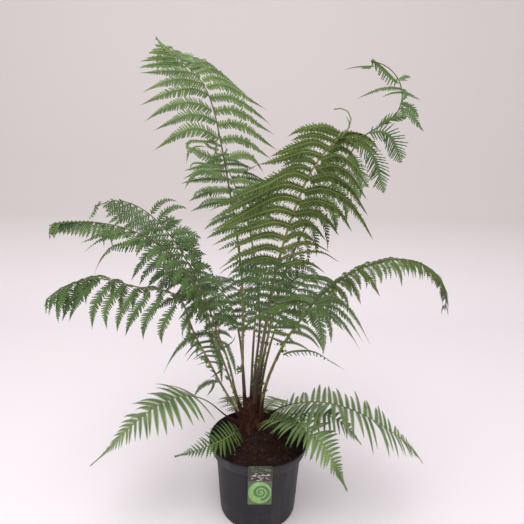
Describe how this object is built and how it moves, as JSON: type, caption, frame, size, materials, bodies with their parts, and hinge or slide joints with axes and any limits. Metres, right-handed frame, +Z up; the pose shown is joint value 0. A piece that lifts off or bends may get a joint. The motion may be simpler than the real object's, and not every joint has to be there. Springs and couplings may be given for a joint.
{
  "type": "tree fern",
  "caption": "Young tree fern with a short fibrous trunk and a crown of long arching lacy fronds, in a round tapered nursery pot of soil with a hanging label.",
  "frame": {"origin": "centre of the pot's flat underside", "axes": "+Z up; +X to the right as seen from the front; -Y towards the front, where the label hangs"},
  "size_m": [1.0915, 0.891, 1.3703],
  "materials": {
    "pot_plastic": "satin charcoal moulded plastic",
    "soil": "loose dark crumbs with pale specks",
    "trunk_fibre": "matted brown fibres and old stalk bases",
    "label_card": "printed plastic card, slightly glossy",
    "stalk": "satin green-brown stalk with fine hairs",
    "frond": "soft satin green leaflets"
  },
  "bodies": {
    "root": {"pot": "pot_plastic", "soil": "soil", "trunk": "trunk_fibre", "label": "label_card", "frond_tall_left_stalk": "stalk", "frond_tall_left_blade": "frond", "frond_tall_left_tip": "frond", "frond_mid_left_stalk": "stalk", "frond_mid_left_blade": "frond", "frond_tall_front_stalk": "stalk", "frond_tall_front_blade": "frond", "frond_tall_front_tip": "frond", "frond_tall_right_stalk": "stalk", "frond_tall_right_blade": "frond", "frond_tall_right_tip": "frond", "frond_arch_right_stalk": "stalk", "frond_arch_right_blade": "frond", "frond_arch_right_tip": "frond", "frond_front_right_stalk": "stalk", "frond_front_right_blade": "frond", "frond_front_right_tip": "frond", "frond_low_left_stalk": "stalk", "frond_low_left_blade": "frond", "frond_low_left_tip": "frond", "frond_upper_left_stalk": "stalk", "frond_upper_left_blade": "frond", "frond_upper_left_tip": "frond", "frond_far_left_stalk": "stalk", "frond_far_left_blade": "frond", "frond_far_left_tip": "frond", "frond_back_right_stalk": "stalk", "frond_back_right_blade": "frond", "frond_back_right_tip": "frond", "frond_back_left_stalk": "stalk", "frond_back_left_blade": "frond", "frond_back_left_tip": "frond", "frond_back_mid_stalk": "stalk", "frond_back_mid_blade": "frond", "frond_back_mid_tip": "frond", "frond_young_left_blade": "frond", "frond_young_left_tip": "frond", "frond_young_front_left_blade": "frond", "frond_young_front_right_blade": "frond", "frond_young_front_right_tip": "frond", "frond_young_right_blade": "frond", "frond_young_far_right_blade": "frond", "frond_young_far_right_tip": "frond", "frond_young_back_right_blade": "frond", "frond_young_back_right_tip": "frond", "frond_young_back_left_blade": "frond", "frond_young_back_left_tip": "frond"}
  },
  "joints": []
}
